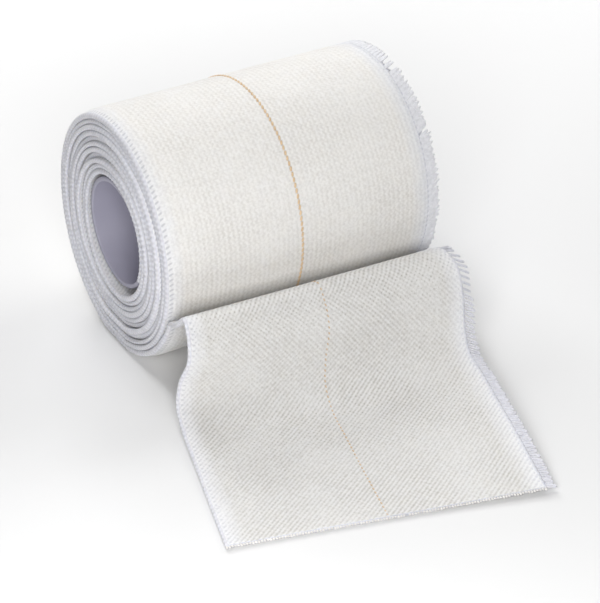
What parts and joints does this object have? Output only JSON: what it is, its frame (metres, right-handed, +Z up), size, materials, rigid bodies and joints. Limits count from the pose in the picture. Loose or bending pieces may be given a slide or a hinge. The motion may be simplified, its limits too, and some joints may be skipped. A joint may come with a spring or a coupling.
{
  "type": "elastic adhesive bandage",
  "caption": "Woven elastic bandage strip wound in a roll on a plastic tube, its free end rising in a small arch in front of the roll and laid flat.",
  "frame": {"origin": "on the surface that the roll rests on, below the middle of the roll's axis", "axes": "+X along the roll's axis, towards its right end; +Y to the back, away from the free end; +Z up"},
  "size_m": [0.0937, 0.1394, 0.0614],
  "materials": {
    "woven_cotton": "matte cream woven cloth with bluish white edges",
    "white_plastic": "smooth white moulded plastic"
  },
  "bodies": {
    "root": {"bandage": "woven_cotton", "core": "white_plastic"}
  },
  "joints": []
}
